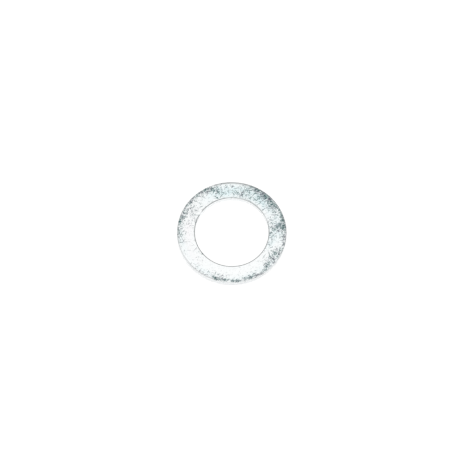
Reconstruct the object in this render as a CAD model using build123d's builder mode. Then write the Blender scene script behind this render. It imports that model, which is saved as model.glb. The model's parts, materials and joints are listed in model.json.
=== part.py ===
"""Shim ring: a flat steel ring that slides on a shaft and takes up end play beside a bearing or a gear.

It is one piece, blanked from strip. A compound die cuts the bore and the rim in the same stroke, so both
cut edges have the same section, mirrored about the middle of the ring's width. From the upper face down
that section is:

  die roll   the face is drawn over where the tool first pressed, a quarter ellipse wider than it is deep;
  land       the burnished, parallel band that the tool sheared, which gives the bore and rim their size;
  tear       the rest of the thickness broke away at a slight draft, so it stands back from the land;
  corner     the burr on the lower face, which tumbling took down to a small radius.

Frame: the axis is Z, the lower face lies on Z = 0 and the die-roll face looks up. Millimetres.
"""

import os

from build123d import *

# What the ring fits.
SHAFT_DIAMETER = 12.0
HOUSING_DIAMETER = 18.0
SHAFT_CLEARANCE = 0.05  # on the diameter, bore over shaft
HOUSING_CLEARANCE = 0.05  # on the diameter, rim inside housing

# Strip.
THICKNESS = 1.0

# Cut edges.
ROLL_WIDTH = 0.20
ROLL_DEPTH = 0.12
LAND_HEIGHT = 0.42
TEAR_DRAFT = 5.0  # degrees off the axis
CORNER_RADIUS = 0.06

bore_radius = (SHAFT_DIAMETER + SHAFT_CLEARANCE) / 2
rim_radius = (HOUSING_DIAMETER - HOUSING_CLEARANCE) / 2
middle_radius = (bore_radius + rim_radius) / 2

face_radius = rim_radius - ROLL_WIDTH  # where the flat upper face ends
land_top = THICKNESS - ROLL_DEPTH
land_foot = land_top - LAND_HEIGHT

with BuildPart() as shim_ring:
    with BuildSketch(Plane.XZ):
        with BuildLine():
            upper_face = Line((middle_radius, THICKNESS), (face_radius, THICKNESS))
            die_roll = EllipticalCenterArc((face_radius, land_top), ROLL_WIDTH, ROLL_DEPTH, arc_size=90)
            land = Line(die_roll @ 0, (rim_radius, land_foot))
            tear = PolarLine(land @ 1, Axis.X, -90 - TEAR_DRAFT)
            lower_face = Line(tear @ 1, (middle_radius, 0))
            mirror(about=Plane.YZ.offset(middle_radius))
        make_face()
    revolve(axis=Axis.Z)
    fillet(shim_ring.edges().group_by(Axis.Z)[0], CORNER_RADIUS)

shim_ring.part.label = "shim_ring"

os.makedirs("parts", exist_ok=True)
export_step(shim_ring.part, "parts/shim_ring.step")
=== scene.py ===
"""A zinc-plated shim ring, lying on a pale table.

Everything is in metres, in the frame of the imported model: the ring's axis is Z, its lower face lies on Z = 0
and the face with the die roll looks up. Angles round the ring run from +X towards +Y. The lists of marks and
the materials' patterns are in millimetres and degrees.
"""
import json
import math

import bpy
import numpy as np
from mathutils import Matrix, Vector


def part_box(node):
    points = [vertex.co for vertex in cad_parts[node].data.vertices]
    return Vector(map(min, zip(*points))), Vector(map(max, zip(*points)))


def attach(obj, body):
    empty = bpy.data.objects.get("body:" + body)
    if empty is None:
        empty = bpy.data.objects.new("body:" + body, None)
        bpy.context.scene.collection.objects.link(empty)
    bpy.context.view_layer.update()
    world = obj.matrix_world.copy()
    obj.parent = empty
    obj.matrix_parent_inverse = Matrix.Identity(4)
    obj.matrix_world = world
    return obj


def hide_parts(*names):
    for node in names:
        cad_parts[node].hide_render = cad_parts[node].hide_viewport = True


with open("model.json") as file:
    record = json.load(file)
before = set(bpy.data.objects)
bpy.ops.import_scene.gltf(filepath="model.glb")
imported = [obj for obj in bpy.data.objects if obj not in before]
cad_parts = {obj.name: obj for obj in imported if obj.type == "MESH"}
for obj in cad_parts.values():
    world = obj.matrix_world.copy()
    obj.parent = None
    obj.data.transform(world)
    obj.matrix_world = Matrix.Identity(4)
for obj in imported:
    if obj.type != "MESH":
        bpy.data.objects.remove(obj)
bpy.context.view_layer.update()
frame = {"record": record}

MM = 0.001
MICRON = 0.001 * MM

# ---------------------------------------------------------------- the ring's own sizes

lowest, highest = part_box("shim_ring")
mounts = {mount["name"]: mount for mount in frame["record"]["mounts"]}

THICKNESS = highest.z - lowest.z
RIM = mounts["rim"]["dims"]["r_mm"] * MM
BORE = mounts["bore"]["dims"]["r_mm"] * MM
MIDDLE = (RIM + BORE) / 2

# The cut edges, the same at rim and bore.
ROLL_WIDTH = 0.20 * MM
ROLL_DEPTH = 0.12 * MM
LAND_HEIGHT = mounts["rim"]["dims"]["length_mm"] * MM
TEAR_DRAFT = math.radians(5.0)
CORNER = 0.06 * MM

FACE_EDGE = RIM - ROLL_WIDTH
LAND_TOP = THICKNESS - ROLL_DEPTH
LAND_FOOT = LAND_TOP - LAND_HEIGHT

# The grid that the ring is drawn on: steps round it, and steps along each stretch of its half section.
COLUMNS = 1080
STEPS = {"face": 23, "roll": 7, "land": 4, "tear": 5, "corner": 3, "underside": 4}

# Waves in the upper face, and the grain of the torn part: height, wavelength and how many waves. Their
# lengths vary between these factors, and the ways they run rise or fall by up to this slope.
WAVINESS = (7 * MICRON, 2.6 * MM, 24)
RIPPLE = (1.2 * MICRON, 0.7 * MM, 40)
TORN_GRAIN = (6 * MICRON, 0.16 * MM, 60)
WAVELENGTH_RANGE = (0.7, 1.4)
STEEPEST_WAVE = 0.6
RELIEF_SEED = 12

# Dents: how many, the reach and depth of the largest, and the size of the smallest as a share of it.
DENTS = 220
DENT_REACH = 0.3 * MM
DENT_DEPTH = 5 * MICRON
SMALLEST_DENT = 0.5

SCRATCH_DEPTH = 5 * MICRON

# ---------------------------------------------------------------- where the finish changes

# Scuffed places, in order round the ring: angle and its spread in degrees, radius and its spread in mm, and
# strength. A negative strength leaves a spot bare.
SCUFFED = (
    (0, 12, 6.5, 0.65, 0.42),
    (6, 9, 8.75, 0.7, 0.68),
    (6, 9, 7.7, 0.8, 0.5),
    (20, 7, 8.8, 0.5, 0.35),
    (26, 14, 7.0, 0.9, 0.17),
    (36, 10, 8.1, 0.6, 0.42),
    (47, 19, 9.0, 0.95, 0.95),
    (54, 18, 7.3, 0.6, 0.24),
    (64, 10, 8.4, 0.5, 0.3),
    (66, 10, 6.8, 0.6, 0.22),
    (76, 14, 7.7, 0.7, 0.3),
    (80, 8, 6.6, 0.7, 0.34),
    (96, 6, 8.1, 0.45, -0.12),
    (99, 10, 7.3, 0.7, 0.25),
    (108, 7, 7.3, 0.6, 0.25),
    (113, 14, 8.2, 0.65, 0.63),
    (129, 12, 8.83, 0.42, 0.65),
    (143, 7, 8.7, 0.4, 0.3),
    (147, 4, 6.35, 0.3, -0.35),
    (150, 18, 7.0, 0.9, 0.26),
    (153, 12, 8.4, 0.75, 0.42),
    (169, 12, 8.75, 0.45, 0.53),
    (176, 12, 7.7, 0.6, 0.06),
    (-172, 9, 8.4, 0.75, 0.32),
    (-171, 3, 8.2, 0.3, -0.5),
    (-143, 8, 6.6, 0.5, 0.1),
    (-129, 9, 8.7, 0.35, 0.2),
    (-113, 8, 8.05, 0.3, 0.12),
    (-112, 9, 8.6, 0.42, 0.14),
    (-107, 5, 8.56, 0.3, 0.46),
    (-103, 8, 7.9, 0.5, 0.2),
    (-98, 4, 8.56, 0.28, 0.38),
    (-88, 30, 6.5, 0.9, -0.12),
    (-85, 6, 8.66, 0.29, 0.66),
    (-82, 30, 8.6, 0.4, 0.25),
    (-72, 4, 8.62, 0.3, 0.45),
    (-67, 9, 8.0, 0.35, 0.2),
    (-64, 5, 8.58, 0.3, 0.55),
    (-57, 4, 8.7, 0.3, 0.34),
    (-49, 8, 8.6, 0.6, 0.35),
    (-36, 10, 8.1, 0.7, 0.65),
    (-23, 7, 8.0, 0.4, 0.22),
    (-22, 8, 6.6, 0.5, 0.15),
    (-17, 13, 8.8, 0.5, 0.58),
    (-8, 5, 8.7, 0.4, 0.3),
)

# The same for the passivate's blue-green tint, and for its pink blush.
TINTED = (
    (5, 16, 7.6, 1.2, 0.6),
    (50, 22, 7.6, 1.1, 1.0),
    (95, 26, 7.25, 1.05, 0.95),
    (108, 9, 7.8, 0.7, 0.4),
    (-170, 20, 8.4, 0.6, 0.35),
    (-124, 18, 8.3, 0.5, 0.25),
    (-72, 28, 8.4, 0.6, 0.35),
    (-38, 14, 8.2, 0.6, 0.35),
    (-14, 12, 6.6, 0.6, 0.5),
)
BLUSHED = (
    (38, 6, 8.1, 0.5, 0.6),
    (86, 8, 6.8, 0.5, 0.2),
    (178, 16, 7.2, 0.7, 1.0),
    (-148, 14, 7.8, 0.8, 0.5),
    (-2, 12, 8.9, 0.3, 1.0),
)

# The dark line on the bore's roll, a painted dark reflection: its middle, its reach, and its strength where
# nothing changes it.
BORE_LINE_AT = BORE + 0.09 * MM
BORE_LINE_WIDTH = 0.06 * MM
BORE_LINE_STRENGTH = 0.86

# The painted dark reflection on the rim's roll darkens with the fall of the roll: its strength at the foot,
# and how soon it gets there.
RIM_LINE_STRENGTH = 0.82
RIM_LINE_ONSET = 2.2

# Round this angle, in degrees, the painted dark reflection and the scuffs are taken off the rim's roll: a
# painted highlight, as bright as the land below it. It starts and is complete at these shares of the roll's
# fall, and leaves a fine painted line near the top of the roll.
ROLL_HIGHLIGHT_AT = -104
ROLL_HIGHLIGHT_SPREAD = 62
ROLL_HIGHLIGHT_FALL = (0.02, 0.32)
RIM_EDGE_AT = RIM - 0.15 * MM
RIM_EDGE_WIDTH = 0.06 * MM

# How far the grey bands of painted dark reflection reach over the face from the start of each roll.
INNER_BAND_WIDTH = 0.045 * MM
OUTER_BAND_WIDTH = 0.12 * MM

# Round the ring each painted line is stronger here and weaker there, down to a gap in the bore's, and the fine
# line and the bands show only in places: angle and its spread in degrees, and the change in strength.
BORE_LINE = (
    (23, 13, -0.5),
    (62, 22, -0.2),
    (76, 8, -0.15),
    (92, 11, -0.3),
    (147, 2.6, -1.6),
    (-140, 1.2, 0.8),
    (-100, 70, 0.15),
)
RIM_LINE = ((-148, 12, -0.4), (-38, 14, -0.4))
RIM_EDGE = ((-141, 14, 0.38), (-114, 14, 0.52))
INNER_BAND = ((58, 16, 0.5), (102, 10, 0.2), (172, 14, 0.15))
OUTER_BAND = (
    (15, 5, 0.45),
    (74, 20, 0.6),
    (98, 12, 0.55),
    (-176, 10, 0.35),
    (-112, 9, 0.15),
    (-76, 10, 0.2),
)

# Single scratches, in order round the ring: from x and y to x and y, width, all in mm, and depth as a share
# of the deepest.
SCRATCHES = (
    (8.32, 1.15, 8.42, 0.15, 0.19, 1.0),
    (7.28, 1.45, 7.48, 0.65, 0.18, 0.8),
    (6.15, 2.15, 6.80, 2.10, 0.14, 0.7),
    (4.95, 3.70, 5.60, 4.30, 0.15, 0.8),
    (6.15, 6.25, 6.80, 5.00, 0.18, 1.0),
    (4.10, 4.70, 4.95, 5.40, 0.15, 0.7),
    (3.80, 5.40, 4.75, 6.05, 0.15, 0.8),
    (3.35, 6.40, 4.05, 7.00, 0.15, 0.7),
    (1.50, 6.70, 1.90, 6.12, 0.17, 0.9),
    (0.95, 7.25, 1.55, 6.35, 0.16, 0.8),
    (0.60, 7.55, 1.15, 6.60, 0.15, 0.8),
    (0.25, 7.40, 0.85, 6.65, 0.16, 0.8),
    (0.05, 7.15, 0.45, 6.55, 0.15, 0.7),
    (-1.99, 6.06, -1.50, 6.76, 0.17, 1.0),
    (-2.85, 7.65, -1.95, 7.05, 0.16, 0.7),
    (-2.90, 6.45, -2.10, 5.86, 0.19, 1.0),
    (-6.65, 4.25, -6.00, 4.70, 0.14, 0.6),
    (-6.30, 4.00, -5.30, 3.60, 0.14, 0.7),
    (-6.35, 2.95, -5.85, 3.15, 0.15, 0.6),
    (-8.80, 0.20, -8.15, -1.15, 0.16, 1.0),
    (-8.15, -1.15, -7.80, -1.75, 0.15, 0.7),
    (-4.88, -3.99, -4.74, -3.83, 0.21, 1.0),
    (-2.40, -8.45, -3.05, -7.95, 0.18, 0.7),
    (-2.05, -8.38, -1.65, -8.52, 0.16, 0.8),
    (-0.70, -8.60, -1.30, -8.25, 0.18, 0.8),
    (0.55, -8.64, 0.95, -8.58, 0.15, 0.8),
    (1.25, -8.62, 1.60, -8.54, 0.17, 0.9),
    (1.90, -8.48, 2.30, -8.38, 0.16, 0.8),
    (3.30, -7.88, 3.65, -7.70, 0.18, 1.0),
    (4.10, -7.60, 4.55, -7.38, 0.18, 0.9),
    (4.85, -6.95, 5.15, -6.70, 0.15, 0.7),
    (5.50, -3.90, 4.95, -4.80, 0.14, 0.6),
    (5.95, -3.40, 6.40, -5.10, 0.18, 0.9),
    (6.45, -3.70, 7.05, -5.45, 0.16, 0.7),
    (6.50, -0.75, 6.60, -2.15, 0.15, 0.7),
    (6.15, -0.10, 6.65, -0.05, 0.15, 1.0),
)

# Both faces are scuffed at least a little everywhere. The underside has the upper face's scuffed places,
# mirrored and turned by this much.
LEAST_SCUFFING = 0.02
UNDERSIDE_TURN = math.radians(140)


# ---------------------------------------------------------------- surfaces

def half_section():
    """The rim's half of the ring's section: radius, height and the name of the stretch each point is on.

    From the middle of the upper face outwards: the flat face; the die roll, a quarter ellipse about the
    point one roll width inside the rim and one roll depth below the face; the land, straight down at the
    rim; the tear, a line leaning inwards by its draft; the corner, an arc tangent to the tear and to the
    underside; and the underside back to the middle.
    """
    share = {name: np.linspace(0, 1, steps, endpoint=False) for name, steps in STEPS.items()}
    share["underside"] = np.linspace(0, 1, STEPS["underside"])

    corner_top = CORNER * (1 - math.sin(TEAR_DRAFT))
    tear_height = LAND_FOOT - corner_top
    tear_depth = tear_height * math.tan(TEAR_DRAFT)
    corner_centre = RIM - tear_depth - CORNER * math.cos(TEAR_DRAFT)

    top = MIDDLE + (FACE_EDGE - MIDDLE) * share["face"]
    roll_turn = share["roll"] * math.pi / 2
    wall = np.full_like(share["land"], RIM)
    corner_turn = TEAR_DRAFT + share["corner"] * (math.pi / 2 - TEAR_DRAFT)
    foot = corner_centre + (MIDDLE - corner_centre) * share["underside"]
    stretches = {
        "face": (top, np.full_like(top, THICKNESS)),
        "roll": (FACE_EDGE + ROLL_WIDTH * np.sin(roll_turn), LAND_TOP + ROLL_DEPTH * np.cos(roll_turn)),
        "land": (wall, LAND_TOP - LAND_HEIGHT * share["land"]),
        "tear": (RIM - tear_depth * share["tear"], LAND_FOOT - tear_height * share["tear"]),
        "corner": (corner_centre + CORNER * np.cos(corner_turn), CORNER - CORNER * np.sin(corner_turn)),
        "underside": (foot, np.zeros_like(foot)),
    }
    radius, height = np.concatenate([np.stack(line) for line in stretches.values()], axis=1)
    stretch = np.repeat(list(STEPS), list(STEPS.values()))
    return radius, height, stretch


def section():
    """The whole closed section: the rim's half, then its mirror image about the middle, run backwards."""
    radius, height, stretch = half_section()
    mirrored = slice(-2, 0, -1)
    return (
        np.concatenate([radius, 2 * MIDDLE - radius[mirrored]]),
        np.concatenate([height, height[mirrored]]),
        np.concatenate([stretch, stretch[mirrored]]),
    )


def mesh_on_grid(name, points, attributes):
    """A closed mesh on a grid of points that wraps round both ways, one quad to each cell of the grid.

    The corners of the cell at column i and row j are the point itself, the next along the section, the next
    in both directions, and the next round the ring, where the step past the last point goes to the first.
    """
    columns, rows = points.shape[:2]
    here = np.arange(columns * rows).reshape(columns, rows)
    onward = np.roll(here, -1, axis=0)
    quads = np.stack([here, np.roll(here, -1, axis=1), np.roll(onward, -1, axis=1), onward], axis=-1)

    mesh = bpy.data.meshes.new(name)
    mesh.vertices.add(columns * rows)
    mesh.vertices.foreach_set("co", points.astype(np.float32).ravel())
    mesh.loops.add(quads.size)
    mesh.loops.foreach_set("vertex_index", quads.astype(np.int32).ravel())
    mesh.polygons.add(columns * rows)
    mesh.polygons.foreach_set("loop_start", np.arange(0, quads.size, 4, dtype=np.int32))
    for title, values in attributes.items():
        layer = mesh.attributes.new(title, "FLOAT", "POINT")
        layer.data.foreach_set("value", np.broadcast_to(values, (columns, rows)).astype(np.float32).ravel())
    mesh.update(calc_edges=True)
    mesh.validate()
    mesh.shade_smooth()
    piece = bpy.data.objects.new(name, mesh)
    bpy.context.scene.collection.objects.link(piece)
    return piece


def bell(distance, reach):
    """A bell curve: 1 at no distance and 1/e at the reach, by the square of their ratio."""
    return np.exp(-((distance / reach) ** 2))


def turn_from(angle, degrees):
    """How many degrees round an angle is from one that is given in degrees, the short way."""
    return np.degrees(np.angle(np.exp(1j * (angle - math.radians(degrees)))))


def round_the_ring(angle, changes):
    """The sum of the strengths of a list, each times a bell curve in angle."""
    return sum(strength * bell(turn_from(angle, middle), spread) for middle, spread, strength in changes)


def patches(angle, radius, places):
    """The sum of the strengths of a list, each times a bell curve in angle and one in radius."""
    return sum(
        strength * bell(turn_from(angle, middle), spread) * bell(radius / MM - at, reach)
        for middle, spread, at, reach, strength in places
    )


def rim_roll_line(angle, fallen):
    """How dark the painted dark reflection on the rim's roll is: darker with the fall, sooner and further
    where the line is strong.

    It is the strength times what is left of 1 after a power of the share still to fall is taken away, and
    that power grows with the strength.
    """
    strength = 1 + round_the_ring(angle, RIM_LINE)
    return RIM_LINE_STRENGTH * strength * (1 - (1 - fallen) ** (RIM_LINE_ONSET * strength))


def painted_edge_lines(angle, radius, fallen, roll_highlight):
    """How dark the painted dark reflection beside the nearer edge is, in lines and bands, where the darkest of
    them counts.

    Each is a strength round the ring times a bell curve in radius, save the line down the rim's roll.
    """
    bore_strength = BORE_LINE_STRENGTH + round_the_ring(angle, BORE_LINE)
    bore_line = bore_strength * bell(radius - BORE_LINE_AT, BORE_LINE_WIDTH)
    bore_band = round_the_ring(angle, INNER_BAND) * bell(radius - BORE - ROLL_WIDTH, INNER_BAND_WIDTH)
    rim_line = rim_roll_line(angle, fallen)
    rim_band = round_the_ring(angle, OUTER_BAND) * bell(radius - FACE_EDGE, OUTER_BAND_WIDTH)
    rim_edge = round_the_ring(angle, RIM_EDGE) * bell(radius - RIM_EDGE_AT, RIM_EDGE_WIDTH)

    by_bore = np.maximum(bore_line, bore_band)
    by_rim = np.maximum(np.maximum(rim_line, rim_band) * (1 - roll_highlight), rim_edge)
    return np.clip(np.where(radius < MIDDLE, by_bore, by_rim), 0, 1)


def scratched(points):
    """The depth of the deepest scratch: for each, a bell curve in the distance from its straight line."""
    deepest = np.zeros(points.shape[:2])
    for x0, y0, x1, y1, width, depth in SCRATCHES:
        run = np.array([x1 - x0, y1 - y0])
        from_start = points[..., :2] / MM - (x0, y0)
        share = np.clip(from_start @ run / (run @ run), 0, 1)
        away = np.linalg.norm(from_start - share[..., None] * run, axis=-1)
        deepest = np.maximum(deepest, depth * bell(away, width / 2))
    return SCRATCH_DEPTH * deepest


def unevenness(points, height, wavelength, waves, rng):
    """A sum of many plane waves of nearly one length, each running its own way, scaled to the height.

    Its scale is the height over the root of the number of waves, so more waves make it no higher.
    """
    heading = rng.uniform(0, math.tau, waves)
    rise = rng.uniform(-STEEPEST_WAVE, STEEPEST_WAVE, waves)
    number = math.tau / (wavelength * rng.uniform(*WAVELENGTH_RANGE, waves))
    way = np.stack([np.cos(heading), np.sin(heading), rise]) * number
    phase = rng.uniform(0, math.tau, waves)
    return height / math.sqrt(waves) * np.sin(points @ way + phase).sum(axis=-1)


def dents(points, rng):
    """Pits left by other rings in the barrel: each a bell curve about a place on the face."""
    at = rng.uniform(BORE, RIM, DENTS)
    angle = rng.uniform(0, math.tau, DENTS)
    size = rng.uniform(SMALLEST_DENT, 1.0, DENTS)
    total = np.zeros(points.shape[:2])
    for x, y, share in zip(at * np.cos(angle), at * np.sin(angle), size):
        away = np.hypot(points[..., 0] - x, points[..., 1] - y)
        total += share * DENT_DEPTH * bell(away, share * DENT_REACH)
    return total


def give_relief(points, on_top, torn):
    """Moves the points: the upper face up and down, and the torn part of each cut in and out."""
    rng = np.random.default_rng(RELIEF_SEED)
    lift = unevenness(points, *WAVINESS, rng) + unevenness(points, *RIPPLE, rng)
    lift -= dents(points, rng) + scratched(points)
    points[..., 2] += on_top * lift
    grain = unevenness(points, *TORN_GRAIN, rng)
    points[..., :2] *= (1 + torn * grain / MIDDLE)[..., None]


def plated_ring():
    """The section turned about Z: a point at radius r and height z goes to (r cos a, r sin a, z)."""
    radius, height, stretch = section()
    angle = np.linspace(-math.pi, math.pi, COLUMNS, endpoint=False)[:, None]
    points = np.stack(np.broadcast_arrays(radius * np.cos(angle), radius * np.sin(angle), height), axis=-1)

    fallen = np.where(stretch == "roll", (THICKNESS - height) / ROLL_DEPTH, 0.0)
    on_wall = np.isin(stretch, ["land", "tear", "corner"])
    on_face = np.where(on_wall, 0.0, 1 - fallen)
    below = stretch == "underside"
    give_relief(points, np.where(below, 0.0, on_face), stretch == "tear")

    # The painted highlight on the rim's roll, which also takes its scuffs away, and the painted dark
    # reflection by the edges, kept in the line attribute.
    roll_highlight = bell(turn_from(angle, ROLL_HIGHLIGHT_AT), ROLL_HIGHLIGHT_SPREAD) * np.interp(fallen, ROLL_HIGHLIGHT_FALL, (0, 1))
    lines = painted_edge_lines(angle, radius, fallen, roll_highlight)
    pattern_angle = np.where(below, UNDERSIDE_TURN - angle, angle)
    scuffing = LEAST_SCUFFING + patches(pattern_angle, radius, SCUFFED)
    attributes = {
        "scuffing": scuffing * on_face * (1 - roll_highlight),
        "tint": patches(pattern_angle, radius, TINTED) * on_face,
        "blush": patches(pattern_angle, radius, BLUSHED) * on_face,
        "line": np.where(on_wall | below, 0.0, lines),
        "below": below,
        "bore": radius < MIDDLE,
        "cut": on_wall,
    }
    return mesh_on_grid("plated_ring", points, attributes)


# ---------------------------------------------------------------- nodes

def add(tree, kind, sockets=None, **settings):
    """One node, with its settings made and its sockets given values or links."""
    made = tree.nodes.new("ShaderNode" + kind)
    for name, value in settings.items():
        setattr(made, name, value)
    for name, value in (sockets or {}).items():
        if isinstance(value, bpy.types.NodeSocket):
            tree.links.new(value, made.inputs[name])
        else:
            made.inputs[name].default_value = value
    return made


def maths(tree, operation, *values):
    """A Math node's result for one to three values."""
    return add(tree, "Math", dict(enumerate(values)), operation=operation).outputs[0]


def product(tree, first, *others):
    """All the values multiplied together."""
    for value in others:
        first = maths(tree, "MULTIPLY", first, value)
    return first


def between(tree, value, low, high, out_low=0.0, out_high=1.0, smooth=True):
    """Carries a value from low..high onto out_low..out_high, clamped, and eased at both ends if smooth."""
    sockets = {"Value": value, "From Min": low, "From Max": high, "To Min": out_low, "To Max": out_high}
    kind = "SMOOTHSTEP" if smooth else "LINEAR"
    return add(tree, "MapRange", sockets, interpolation_type=kind, clamp=True).outputs["Result"]


def blend(tree, share, first, second):
    """Mixes two colours: all first at a share of 0, all second at 1."""
    return add(tree, "Mix", {0: share, 6: first, 7: second}, data_type="RGBA").outputs[2]


def added(tree, first, second, scale=(1, 1, 1)):
    """The first vector, scaled, plus the second."""
    return add(tree, "VectorMath", {0: first, 1: scale, 2: second}, operation="MULTIPLY_ADD").outputs[0]


def noise(tree, place, scale, detail=0.0, roughness=0.5, flat=False):
    """A noise texture's value. A flat one ignores height, which is quicker and draws lines down a wall."""
    sockets = {"Vector": place, "Scale": scale, "Detail": detail, "Roughness": roughness}
    return add(tree, "TexNoise", sockets, noise_dimensions="2D" if flat else "3D").outputs["Fac"]


def attribute(tree, name):
    """A value that the ring's mesh holds at each of its points."""
    return add(tree, "Attribute", attribute_name=name).outputs["Fac"]


def new_material(name):
    """A material with no nodes in it, and its node tree."""
    material = bpy.data.materials.new(name)
    material.use_nodes = True
    material.node_tree.nodes.clear()
    return material, material.node_tree


# ---------------------------------------------------------------- scuffs and scratches

# Length, width and depth of each kind of score: how far it is drawn out along and across, in mm, and the
# share of the light that it takes.
SCUFFS = ((0.9, 0.17, 0.96), (0.6, 0.16, 0.9), (1.4, 0.19, 0.92))
HAIRLINES = ((0.9, 0.045, 1.0),)
WIPES = ((2.2, 0.14, 0.8),)

# For each kind: how many layers of it cross, the level of noise above which it marks the zinc, and how far
# above that level a mark is full. The more the ring is scuffed, the lower the level is, by the falls.
SCUFF_LAYERS = 12
SCUFF_LEVEL = 0.769
SCUFF_FALL = -0.18
SCUFF_RAMP = 0.04
HAIRLINE_LAYERS = 4
HAIRLINE_LEVEL = 0.69
HAIRLINE_FALL = -0.24
HAIRLINE_RAMP = 0.12
WIPE_LAYERS = 2
WIPE_LEVEL = 0.69
WIPE_RAMP = 0.05

# Beyond the heaviest scuffing scuffs grow no denser. Where there is less than light scuffing they are
# fainter, down to the faintest share of their depth. In a hollow of the face scuffs and scratches keep the
# hollow's share of theirs.
HEAVIEST_SCUFFING = 0.8
LIGHT_SCUFFING = 0.12
FAINTEST_SCUFFS = 0.5
HOLLOW_BITE = 0.6

# Hairlines start to run together at the first amount of scuffing. From the second on they make at least
# this much haze.
RUN_TOGETHER = (0.5, 1.2)
RUN_TOGETHER_HAZE = 0.8

# The heading of the first layer of scores, and the turn from each to the next: by this one, headings never
# bunch together, however many there are. Each layer is also shifted on, in mm, so that no two share marks.
FIRST_HEADING = 0.23
GOLDEN_TURN = math.pi * (3 - math.sqrt(5)) / 2
LAYER_SHIFT = (7.3, 3.1, 0)
WIPES_SHIFT = (40, 0, 0)
UNDERSIDE_SHIFT = (30, 0, 0)


def scores(tree, place, heading, length, width, keep, ramp):
    """Marks that all run one way: 0 where flat noise drawn out along the heading is below keep, 1 above.

    The place is turned by the heading, then counted in lengths along it and in widths across it. The marks
    rise from 0 to 1 over the ramp.
    """
    sockets = {"Vector": place, "Rotation": (0, 0, heading), "Scale": (length, width, width)}
    turned = add(tree, "Mapping", sockets, vector_type="TEXTURE").outputs[0]
    drawn_out = noise(tree, turned, scale=1.0, detail=1.0, flat=True)
    return between(tree, drawn_out, keep, maths(tree, "ADD", keep, ramp))


def crossed(tree, place, kinds, count, keep, ramp):
    """What many layers of scores leave of the light: 1 less depth times score, multiplied over the layers."""
    left = 1.0
    for number in range(count):
        length, width, depth = kinds[number % len(kinds)]
        heading = FIRST_HEADING + GOLDEN_TURN * number
        shifted = added(tree, LAYER_SHIFT, place, scale=(number, number, number))
        score = scores(tree, shifted, heading, length, width, keep, ramp)
        left = product(tree, maths(tree, "MULTIPLY_ADD", score, -depth, 1.0), left)
    return left


def single_scratches(tree, place):
    """How deep the scratches of the list are here: each an ellipse drawn out from end to end.

    The squares of the distances from its middle, in half lengths along it and half widths across it, add up
    to 1 at its edge.
    """
    deepest = 0.0
    for x0, y0, x1, y1, width, depth in SCRATCHES:
        half_length = (math.hypot(x1 - x0, y1 - y0) + width) / 2
        heading = math.atan2(y1 - y0, x1 - x0)
        middle = np.array([x0 + x1, y0 + y1]) / 2
        squares = 0.0
        for turn, reach in ((heading, half_length), (heading + math.pi / 2, width / 2)):
            way = np.array([math.cos(turn), math.sin(turn)]) / reach
            sockets = {0: place, 1: (*way, 0)}
            at = add(tree, "VectorMath", sockets, operation="DOT_PRODUCT").outputs["Value"]
            from_middle = maths(tree, "SUBTRACT", at, way @ middle)
            squares = maths(tree, "MULTIPLY_ADD", from_middle, from_middle, squares)
        mark = between(tree, squares, 1.0, 0.25, out_high=depth)
        deepest = maths(tree, "MAXIMUM", mark, deepest)
    return deepest


def scuff_marks(tree, place, bent, scuffed, face, top):
    """How dark the marks are that stand out one by one: crossed scuffs, thinned by wipes, and the scratches.

    The face isn't quite flat, so a mark bites on the high spots and skips the hollows between them.
    """
    hills = noise(tree, place, scale=4.0, detail=2.0, roughness=0.6)
    bite = between(tree, hills, 0.46, 0.54, out_low=HOLLOW_BITE)
    most = maths(tree, "MINIMUM", scuffed, HEAVIEST_SCUFFING)
    keep = maths(tree, "MULTIPLY_ADD", most, SCUFF_FALL, SCUFF_LEVEL)
    taken = maths(tree, "SUBTRACT", 1.0, crossed(tree, bent, SCUFFS, SCUFF_LAYERS, keep, SCUFF_RAMP))
    wiped = crossed(tree, added(tree, WIPES_SHIFT, bent), WIPES, WIPE_LAYERS, WIPE_LEVEL, WIPE_RAMP)
    faint = between(tree, scuffed, 0.0, LIGHT_SCUFFING, out_low=FAINTEST_SCUFFS)
    scuffs = product(tree, taken, bite, face, wiped, faint)
    return maths(tree, "MAXIMUM", scuffs, product(tree, single_scratches(tree, place), bite, top))


def hairline_haze(tree, bent, scuffed):
    """How grey hairlines make the face: crossed ones, running together where it is scuffed most."""
    keep = maths(tree, "MULTIPLY_ADD", scuffed, HAIRLINE_FALL, HAIRLINE_LEVEL)
    left = crossed(tree, bent, HAIRLINES, HAIRLINE_LAYERS, keep, HAIRLINE_RAMP)
    haze = maths(tree, "SUBTRACT", 1.0, left)
    return maths(tree, "MAXIMUM", haze, between(tree, scuffed, *RUN_TOGETHER, out_high=RUN_TOGETHER_HAZE))


# ---------------------------------------------------------------- zinc

BRIGHT_ZINC = (0.965, 0.981, 0.982, 1)
BLUE_GREEN_TINT = (0.81, 0.935, 0.955, 1)
PINK_BLUSH = (0.965, 0.935, 0.955, 1)
HAZE_GREY = (0.36, 0.46, 0.468, 1)
TEAL_SCUFF = (0.02, 0.10, 0.10, 1)
SLATE_SCUFF = (0.08, 0.085, 0.115, 1)
# The grey of the painted dark reflection by the edges and of the painted shade at the foot of the rim's wall.
PAINTED_SHADE_GREY = (0.10, 0.113, 0.113, 1)

# The light and the dark grey of each part of each cut. The rim's are painted darker and the bore's paler, as
# painted shade and painted light on one cut metal; the drag lines and grain between the two greys are its own.
RIM_LAND = ((0.93, 0.938, 0.944, 1), (0.79, 0.805, 0.815, 1))
RIM_TEAR = ((0.95, 0.957, 0.961, 1), (0.76, 0.782, 0.79, 1))
BORE_LAND = ((0.96, 0.967, 0.972, 1), (0.87, 0.883, 0.89, 1))
BORE_TEAR = ((0.965, 0.972, 0.976, 1), (0.80, 0.82, 0.825, 1))

# Roughness of the bare zinc, what full haze and the torn part add to it, and how deep full haze and full
# marks are in its bump.
ZINC_ROUGHNESS = 0.28
HAZE_ROUGHNESS = 0.12
TORN_ROUGHNESS = 0.2
HAZE_DEPTH = 2 * MICRON
MARK_DEPTH = 6 * MICRON

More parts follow.
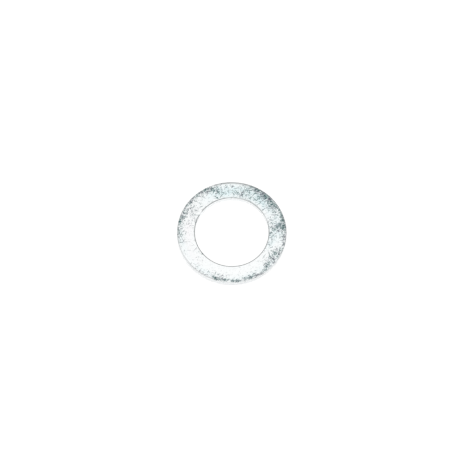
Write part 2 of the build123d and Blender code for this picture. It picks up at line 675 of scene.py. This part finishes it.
# How strong the blush is, and how much grey full haze brings where the scuffing is light and where heavy.
BLUSH_STRENGTH = 0.6
LIGHT_VEIL = 0.2
HEAVY_VEIL = 0.5

# How far the scuffs bend, in mm, and how many bends there are to a mm of their way.
BEND = 0.35
BEND_SCALE = 0.7

# The edge between land and tear wanders this far up and down, and blurs this far to each side, in mm. Then
# the scale of the drag lines along X and Y and down the wall, and that of the grain, in waves to a mm.
TEAR_WANDER = 0.08
TEAR_SOFTNESS = 0.01
DRAG_SCALE = (14.0, 14.0, 0.5)
GRAIN_SCALE = 16.0

# Painted shade, a grey at the very foot of the rim's wall where it meets the table: the heights, in mm, where
# it starts and is full.
FOOT_SHADE = (0.10, 0.02)
FOOT_SHADE_STRENGTH = 0.4


def places_on_zinc(tree):
    """Object coordinates in mm, and the same bent a little, because no scuff is quite straight.

    The underside's bent ones are shifted too, so that its marks aren't the upper face's.
    """
    metres = add(tree, "TexCoord").outputs["Object"]
    place = added(tree, metres, (0, 0, 0), scale=(1 / MM, 1 / MM, 1 / MM))
    bend = add(tree, "TexNoise", {"Vector": place, "Scale": BEND_SCALE, "Detail": 2.0}).outputs["Color"]
    bent = added(tree, bend, place, scale=(BEND, BEND, BEND))
    below = add(tree, "CombineXYZ", {0: attribute(tree, "below")}).outputs[0]
    return place, added(tree, below, bent, scale=UNDERSIDE_SHIFT)


def torn_part(tree, place, height, wall):
    """1 on the torn part of a cut and 0 on the land above it, with a ragged edge between the two."""
    noisy = noise(tree, place, scale=2.2, detail=3.0, roughness=0.7)
    wander = between(tree, noisy, 0.3, 0.7, out_low=-TEAR_WANDER, out_high=TEAR_WANDER, smooth=False)
    ragged = maths(tree, "ADD", height, wander)
    foot = LAND_FOOT / MM
    return product(tree, between(tree, ragged, foot + TEAR_SOFTNESS, foot - TEAR_SOFTNESS), wall)


def face_colour(tree, place, breakup, scuffed, haze, marks):
    """Zinc, tinted and blushed by its passivate, then the haze, then the marks, in teal and slate."""
    tinted = product(tree, attribute(tree, "tint"), breakup)
    blushed = product(tree, attribute(tree, "blush"), breakup, BLUSH_STRENGTH)
    veil = product(tree, haze, between(tree, scuffed, 0.3, 0.95, out_low=LIGHT_VEIL, out_high=HEAVY_VEIL))
    slate = between(tree, noise(tree, place, scale=1.1, detail=2.0), 0.45, 0.6)
    colour = blend(tree, tinted, BRIGHT_ZINC, BLUE_GREEN_TINT)
    colour = blend(tree, blushed, colour, PINK_BLUSH)
    colour = blend(tree, veil, colour, HAZE_GREY)
    return blend(tree, marks, colour, blend(tree, slate, TEAL_SCUFF, SLATE_SCUFF))


def cut_colour(tree, place, torn):
    """Bright drag lines down the land and dull grain on the torn part, both paler in the bore, as painted
    light.
    """
    drawn_down = added(tree, place, (0, 0, 0), scale=DRAG_SCALE)
    drag = between(tree, noise(tree, drawn_down, scale=1.0, detail=2.0), 0.35, 0.65)
    grain = between(tree, noise(tree, place, scale=GRAIN_SCALE, detail=2.0), 0.35, 0.65)
    bore = attribute(tree, "bore")
    land = blend(tree, bore, blend(tree, drag, *RIM_LAND), blend(tree, drag, *BORE_LAND))
    tear = blend(tree, bore, blend(tree, grain, *RIM_TEAR), blend(tree, grain, *BORE_TEAR))
    return blend(tree, torn, land, tear)


def zinc_plate():
    """Bright zinc under a clear passivate, scuffed in tumbling as densely as the mesh's attributes say."""
    material, tree = new_material("zinc_plate")
    place, bent = places_on_zinc(tree)
    height = add(tree, "SeparateXYZ", {0: place}).outputs[2]
    wall = attribute(tree, "cut")
    face = maths(tree, "SUBTRACT", 1.0, wall)
    top = maths(tree, "SUBTRACT", face, attribute(tree, "below"))

    cloudy = noise(tree, place, scale=1.6, detail=3.0, roughness=0.6)
    breakup = between(tree, cloudy, 0.3, 0.7, out_low=0.5, out_high=1.5, smooth=False)
    scuffed = product(tree, attribute(tree, "scuffing"), breakup)
    marks = scuff_marks(tree, place, bent, scuffed, face, top)
    haze = hairline_haze(tree, bent, scuffed)
    torn = torn_part(tree, place, height, wall)

    # The painted dark reflection in lines and bands by the edges and the painted shade at the foot of the
    # rim's wall are all of the same grey.
    rim_wall = maths(tree, "SUBTRACT", wall, attribute(tree, "bore"))
    foot_shade = product(tree, between(tree, height, *FOOT_SHADE, out_high=FOOT_SHADE_STRENGTH), rim_wall)
    line = maths(tree, "MAXIMUM", attribute(tree, "line"), foot_shade)
    colour = face_colour(tree, place, breakup, scuffed, haze, marks)
    colour = blend(tree, wall, colour, cut_colour(tree, place, torn))
    colour = blend(tree, line, colour, PAINTED_SHADE_GREY)

    roughness = maths(tree, "MULTIPLY_ADD", haze, HAZE_ROUGHNESS, ZINC_ROUGHNESS)
    roughness = maths(tree, "MULTIPLY_ADD", torn, TORN_ROUGHNESS, roughness)
    fine = add(tree, "Bump", {"Height": haze, "Distance": -HAZE_DEPTH}).outputs[0]
    deep = add(tree, "Bump", {"Height": marks, "Distance": -MARK_DEPTH, "Normal": fine}).outputs[0]
    sockets = {"Base Color": colour, "Metallic": 1.0, "Roughness": roughness, "Normal": deep}
    shader = add(tree, "BsdfPrincipled", sockets)
    add(tree, "OutputMaterial", {0: shader.outputs[0]})
    return material


# ---------------------------------------------------------------- table, sky and camera

TABLE_SPREAD = 1.5
TABLE_DROP = 10 * MICRON
TABLE_COLOUR = (0.8, 0.8, 0.8, 1)
TABLE_LIFT = 0.42

# How bright the sky is at the horizon, at its dimmest, and how much is added overhead. Then how steeply a ray
# rises where the first ends, where it is dimmest and where it is full overhead.
HORIZON_GLOW = 1.0
DIMMEST_GLOW = 0.6
OVERHEAD_GLOW = 0.44
HORIZON_RISE = 0.15
DIMMEST_RISE = 0.45
OVERHEAD_RISE = 0.9

CAMERA_RISE = math.radians(67)
CAMERA_DISTANCE = 252 * MM
CAMERA_AIM = Vector((-0.95 * MM, 1.22 * MM, THICKNESS / 2))
FOCAL_LENGTH_MM = 122
SENSOR_WIDTH_MM = 36


def table_top():
    """Matt white. Seen direct, or mirrored in the ring, it is lifted to white and keeps the ring's shadow."""
    material, tree = new_material("table_top")
    rays = add(tree, "LightPath").outputs
    seen = maths(tree, "MAXIMUM", rays["Is Camera Ray"], rays["Is Glossy Ray"])
    seen = maths(tree, "MAXIMUM", seen, rays["Is Transmission Ray"])
    matt = add(tree, "BsdfDiffuse", {"Color": TABLE_COLOUR})
    lift = add(tree, "Emission", {"Strength": product(tree, seen, TABLE_LIFT)})
    both = add(tree, "AddShader", {0: matt.outputs[0], 1: lift.outputs[0]})
    add(tree, "OutputMaterial", {0: both.outputs[0]})
    return material


def table_plane():
    """A square, a hair under the ring, so that the two don't share a plane."""
    bpy.ops.mesh.primitive_plane_add(size=TABLE_SPREAD, location=(0, 0, -TABLE_DROP))
    table = bpy.context.object
    table.name = "table"
    table.data.materials.append(table_top())
    return table


def studio_sky():
    """White at the horizon, dimmer above it, and white again overhead, by how steeply a ray rises."""
    world = bpy.data.worlds.new("studio_sky")
    world.use_nodes = True
    tree = world.node_tree
    tree.nodes.clear()
    way = add(tree, "TexCoord").outputs["Generated"]
    rise = add(tree, "SeparateXYZ", {0: way}).outputs[2]
    low = between(tree, rise, HORIZON_RISE, DIMMEST_RISE, out_low=HORIZON_GLOW, out_high=DIMMEST_GLOW)
    overhead = between(tree, rise, DIMMEST_RISE, OVERHEAD_RISE, out_high=OVERHEAD_GLOW)
    level = maths(tree, "ADD", low, overhead)
    glow = add(tree, "Background", {"Color": (1, 1, 1, 1), "Strength": level})
    add(tree, "OutputWorld", {0: glow.outputs[0]})
    return world


def standing_camera():
    """A camera that looks down at its aim from -Y, backed off along its own line of sight."""
    lens = bpy.data.cameras.new("camera")
    lens.lens = FOCAL_LENGTH_MM
    lens.sensor_width = SENSOR_WIDTH_MM
    lens.clip_start = 10 * MM
    lens.clip_end = 10.0
    camera = bpy.data.objects.new("camera", lens)
    back = Vector((0, -math.cos(CAMERA_RISE), math.sin(CAMERA_RISE)))
    camera.location = CAMERA_AIM + back * CAMERA_DISTANCE
    camera.rotation_euler = (math.pi / 2 - CAMERA_RISE, 0, 0)
    bpy.context.scene.collection.objects.link(camera)
    return camera


# ---------------------------------------------------------------- the scene

ring = plated_ring()
ring.data.materials.append(zinc_plate())
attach(ring, "root")
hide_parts("shim_ring")

table = table_plane()

scene = bpy.context.scene
scene.world = studio_sky()
scene.view_settings.view_transform = "Standard"
scene.camera = standing_camera()
